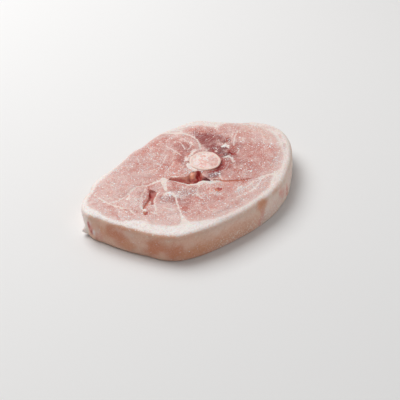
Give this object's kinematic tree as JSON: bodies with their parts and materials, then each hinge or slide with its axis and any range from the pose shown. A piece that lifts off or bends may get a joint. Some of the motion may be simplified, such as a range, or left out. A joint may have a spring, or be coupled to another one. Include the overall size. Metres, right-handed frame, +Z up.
{
  "type": "raw pork leg steak",
  "caption": "Thick bone-in slice of raw pork leg with a rind edge, a fat rim, marbled lean muscles and a round thigh bone section.",
  "frame": {"origin": "centre of the base of the bounding box: on the table, under the middle of the slice", "axes": "+X along the slice's length, away from the broad rind end; +Y across it, away from the long rind side; +Z up, out of the cut face that shows"},
  "size_m": [0.2296, 0.1526, 0.0269],
  "materials": {
    "pork": "raw pink lean with white fat and beige rind, moist satin with a dusting of frost",
    "bone": "sawn bone, pale hard ring round a pink spongy middle, matt",
    "frost": "small white grains of frost and bone dust, matt"
  },
  "bodies": {
    "root": {"pork_slice": "pork", "thigh_bone": "bone"}
  },
  "joints": []
}
